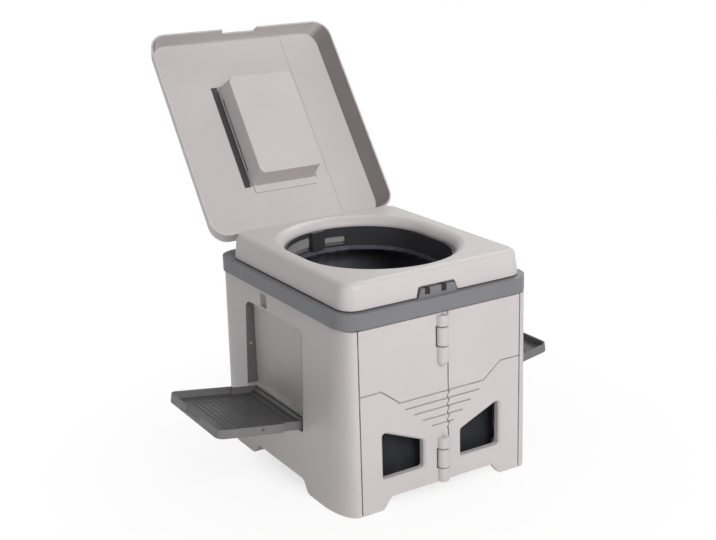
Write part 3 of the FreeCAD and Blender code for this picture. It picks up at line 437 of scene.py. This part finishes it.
def bag_rows(floor_z, neck_z):
    """Rows down the film: share of the plan, height, share of squareness, share of the floor."""
    shoulder_top = neck_z - BAG_NECK
    wall_top = shoulder_top - BAG_SHOULDER
    wall_foot = floor_z + BAG_CORNER
    rows = []
    for i in range(BAG_NECK_ROWS):
        rows.append((1.0, neck_z + (shoulder_top - neck_z) * i / BAG_NECK_ROWS, 0.0, 0.0))
    for i in range(BAG_SHOULDER_ROWS):
        t = i / BAG_SHOULDER_ROWS
        z = shoulder_top + (wall_top - shoulder_top) * t ** BAG_SHOULDER_CURVE
        rows.append((1.0, z, smooth(t), 0.0))
    for i in range(BAG_WALL_ROWS):
        rows.append((1.0, wall_top + (wall_foot - wall_top) * i / BAG_WALL_ROWS, 1.0, 0.0))
    for i in range(BAG_CORNER_ROWS):
        a = 0.5 * math.pi * i / BAG_CORNER_ROWS
        share = BAG_FLOOR_SHARE + (1 - BAG_FLOOR_SHARE) * math.cos(a)
        z = wall_foot - (BAG_CORNER - BAG_FLOOR_LIFT) * math.sin(a)
        rows.append((share, z, 1.0, smooth(a / BAG_CORNER_TURN)))
    for i in range(BAG_FLOOR_ROWS):
        share = BAG_FLOOR_SHARE * (1 - i / BAG_FLOOR_ROWS)
        rows.append((share, floor_z + BAG_FLOOR_LIFT, 1.0, 1.0))
    return rows


def creases(point, scale):
    """Sharp-edged crumple between 0 and about 1."""
    total = 0.0
    for octave, share in CREASE_OCTAVES:
        shift = Vector((octave, 2 * octave, 0))
        total += share * abs(noise.noise(point * scale * octave + shift))
    return total


def oval_radius(angle, r, run):
    """Reach of a round-ended slot along Y from its middle."""
    across, along = abs(math.cos(angle)), abs(math.sin(angle))
    if r * along <= run * across:
        return r / across
    return run * along + math.sqrt(r * r - (run * across) ** 2)


def box_radius(angle, half_x, half_y, power):
    """Reach of a box with rounded corners from its middle, squarer with a higher power."""
    across, along = abs(math.cos(angle)) / half_x, abs(math.sin(angle)) / half_y
    return (across ** power + along ** power) ** (-1 / power)


def film_drawn_in(angle, depth, floor, point):
    """How far pleats, creases and folds draw the film in at a depth below its neck."""
    wobble = sum(reach * math.sin(turns * angle + phase) for reach, turns, phase in BAG_WOBBLE)
    pleat = abs(math.sin(BAG_PLEATS / 2 * angle + wobble + BAG_PLEAT_LEAN * depth))
    pleat *= BAG_PLEAT_DEPTH * smooth((BAG_PLEAT_END - depth) / BAG_PLEAT_FADE)
    hang = smooth(depth / BAG_CREASE_ONSET)
    inward = pleat * (BAG_NECK_PLEAT_SHARE + (1 - BAG_NECK_PLEAT_SHARE) * hang)
    crumple = BAG_CREASE_DEPTH * creases(point, BAG_CREASE_SCALE)
    inward += hang * crumple * (1 - BAG_FLOOR_CALM * floor)
    fold = BAG_FOLD_DEPTH * (0.5 + 0.5 * math.sin(BAG_FOLDS * angle + 2 * wobble))
    inward += smooth((depth - BAG_SHOULDER) / BAG_FOLD_ONSET) * fold * (1 - floor)
    return inward


def film_faces(rows, tip):
    """Faces between closed rows of points, and from the last row to one tip."""
    faces = []
    for k in range(rows - 1):
        upper, lower = k * BAG_AROUND, (k + 1) * BAG_AROUND
        for i in range(BAG_AROUND):
            j = (i + 1) % BAG_AROUND
            faces.append((upper + i, lower + i, lower + j, upper + j))
    last = (rows - 1) * BAG_AROUND
    faces += [(last + i, tip, last + (i + 1) % BAG_AROUND) for i in range(BAG_AROUND)]
    return faces


def film_bag(finish):
    """Creased film bag that hangs from the ring, gathered in pleats at its neck."""
    low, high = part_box("waste_bag")
    ring_low, ring_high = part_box("bag_ring")
    ring_half = (ring_high - ring_low) / 2
    neck_r, neck_run = ring_half.x - BAG_NECK_SET, ring_half.y - ring_half.x
    neck, belly = (ring_low + ring_high) / 2, (low + high) / 2
    half_x = (high.x - low.x) / 2 - BAG_SIDE_GAP
    half_y = (high.y - low.y) / 2 - BAG_SIDE_GAP
    rows = bag_rows(low.z, high.z)
    vertices = []
    for share, z, square, floor in rows:
        middle = neck.lerp(belly, square)
        for i in range(BAG_AROUND):
            angle = 2 * math.pi * i / BAG_AROUND
            out = Vector((math.cos(angle), math.sin(angle), 0))
            start = oval_radius(angle, neck_r, neck_run)
            end = box_radius(angle, half_x, half_y, BAG_SQUARENESS)
            r = share * (start + (end - start) * square)
            point = Vector((middle.x + r * out.x, middle.y + r * out.y, z))
            r = max(r - film_drawn_in(angle, high.z - z, floor, point) * share, 0.0)
            rise = floor * BAG_FLOOR_CREASE * creases(point, BAG_FLOOR_CREASE_SCALE)
            vertices.append((middle.x + r * out.x, middle.y + r * out.y, z + rise))
    rise = BAG_FLOOR_CREASE * creases(Vector((belly.x, belly.y, low.z)), BAG_FLOOR_CREASE_SCALE)
    vertices.append((belly.x, belly.y, low.z + BAG_FLOOR_LIFT + rise))
    mesh = bpy.data.meshes.new("film_bag")
    mesh.from_pydata(vertices, [], film_faces(len(rows), len(vertices) - 1))
    mesh.polygons.foreach_set("use_smooth", [True] * len(mesh.polygons))
    mesh.materials.append(finish)
    bag = bpy.data.objects.new("film_bag", mesh)
    bpy.context.scene.collection.objects.link(bag)
    thicken(bag, BAG_FILM)
    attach(bag, "top")
    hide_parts("waste_bag")
    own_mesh(bag)


def thicken(piece, thickness):
    """Give a single sheet its thickness and keep the result as plain mesh."""
    sheet = piece.modifiers.new("film", "SOLIDIFY")
    sheet.thickness = thickness
    sheet.offset = 1.0
    depsgraph = bpy.context.evaluated_depsgraph_get()
    final = bpy.data.meshes.new_from_object(piece.evaluated_get(depsgraph))
    piece.modifiers.clear()
    piece.data = final


def seen_directly(tree):
    """1 for rays that show the background as it is: direct, reflected or through clear parts."""
    path = tree.nodes.new("ShaderNodeLightPath")
    seen = path.outputs["Is Camera Ray"]
    for kind in ("Is Glossy Ray", "Is Transmission Ray"):
        either = tree.nodes.new("ShaderNodeMath")
        either.operation = "MAXIMUM"
        tree.links.new(seen, either.inputs[0])
        tree.links.new(path.outputs[kind], either.inputs[1])
        seen = either.outputs[0]
    return seen


def floor_paper():
    """Pale paper that glows plain white away from the object and keeps its shadow near it."""
    shader = Shader("floor_paper", Roughness=FLOOR_ROUGHNESS, Specular_IOR_Level=FLOOR_SPECULAR)
    paper = shader.tint(shader.noise(FLOOR_MOTTLE), FLOOR_COLOUR, FLOOR_SPREAD)
    shader.feed("Base Color", paper)
    links = {"Vector": shader.coords}
    reach = shader.node("VectorMath", links, operation="LENGTH").outputs["Value"]
    links = {"Fac": shader.span(reach, 0.0, 1.0, (0.0, FLOOR_REACH))}
    ramp = shader.node("ValToRGB", links)
    stops = ramp.color_ramp.elements
    while len(stops) < len(FLOOR_WHITES):
        stops.new(0.5)
    for stop, (metres, white) in zip(stops, FLOOR_WHITES):
        stop.position, stop.color = metres / FLOOR_REACH, (white, white, white, 1)
    share = shader.product(seen_directly(shader.tree), ramp.outputs["Color"])
    glow = shader.node("Emission").outputs[0]
    links = {"Fac": share, 1: shader.bsdf.outputs[0], 2: glow}
    mix = shader.node("MixShader", links).outputs[0]
    end = next(n for n in shader.tree.nodes if n.type == "OUTPUT_MATERIAL")
    shader.tree.links.new(mix, end.inputs["Surface"])
    return shader.material


def plain_floor():
    """Pale floor that runs out into the white background."""
    half = FLOOR_SIZE / 2
    mesh = bpy.data.meshes.new("floor")
    corners = [(-half, -half), (half, -half), (half, half), (-half, half)]
    mesh.from_pydata([(x, y, -FLOOR_DROP) for x, y in corners], [], [(0, 1, 2, 3)])
    mesh.materials.append(floor_paper())
    floor = bpy.data.objects.new("floor", mesh)
    bpy.context.scene.collection.objects.link(floor)


def studio_world():
    """Even surrounding light; the background itself is white, also in reflections."""
    world = bpy.data.worlds.new("studio")
    world.use_nodes = True
    tree = world.node_tree
    tree.nodes.clear()
    lit, white = (tree.nodes.new("ShaderNodeBackground") for _ in range(2))
    lit.inputs["Strength"].default_value = WORLD_LEVEL
    lit.inputs["Color"].default_value = WHITE
    white.inputs["Color"].default_value = WHITE
    mix = tree.nodes.new("ShaderNodeMixShader")
    tree.links.new(seen_directly(tree), mix.inputs["Fac"])
    tree.links.new(lit.outputs[0], mix.inputs[1])
    tree.links.new(white.outputs[0], mix.inputs[2])
    end = tree.nodes.new("ShaderNodeOutputWorld")
    tree.links.new(mix.outputs[0], end.inputs["Surface"])
    bpy.context.scene.world = world


def soft_lamp(name, towards, watts, size):
    """Square soft lamp that shines at the middle of the object."""
    lamp = bpy.data.lights.new(name, "AREA")
    lamp.energy = watts
    lamp.size = size
    holder = bpy.data.objects.new(name, lamp)
    middle = (Vector(cad_box[0]) + Vector(cad_box[1])) / 2
    aim = Vector(towards).normalized()
    holder.location = middle + aim * LAMP_DISTANCE
    holder.rotation_euler = aim.to_track_quat("Z", "Y").to_euler()
    bpy.context.scene.collection.objects.link(holder)


def photo_camera():
    """Camera at the picture's viewing angle."""
    data = bpy.data.cameras.new("camera")
    data.sensor_width = SENSOR_WIDTH
    data.lens = FOCAL_PIXELS / PHOTO_WIDTH * SENSOR_WIDTH
    camera = bpy.data.objects.new("camera", data)
    turn = Matrix.Rotation(math.radians(-CAMERA_YAW), 4, "Z")
    tilt = Matrix.Rotation(math.radians(90 - CAMERA_PITCH), 4, "X")
    roll = Matrix.Rotation(math.radians(CAMERA_ROLL), 4, "Z")
    camera.matrix_world = Matrix.Translation(CAMERA_EYE) @ turn @ tilt @ roll
    bpy.context.scene.collection.objects.link(camera)
    bpy.context.scene.camera = camera


finishes = dress_nodes()
film_bag(finishes["film"])
plain_floor()
studio_world()
for lamp_name, lamp in LAMPS.items():
    soft_lamp(lamp_name, **lamp)
photo_camera()
bpy.context.scene.view_settings.view_transform = "Standard"
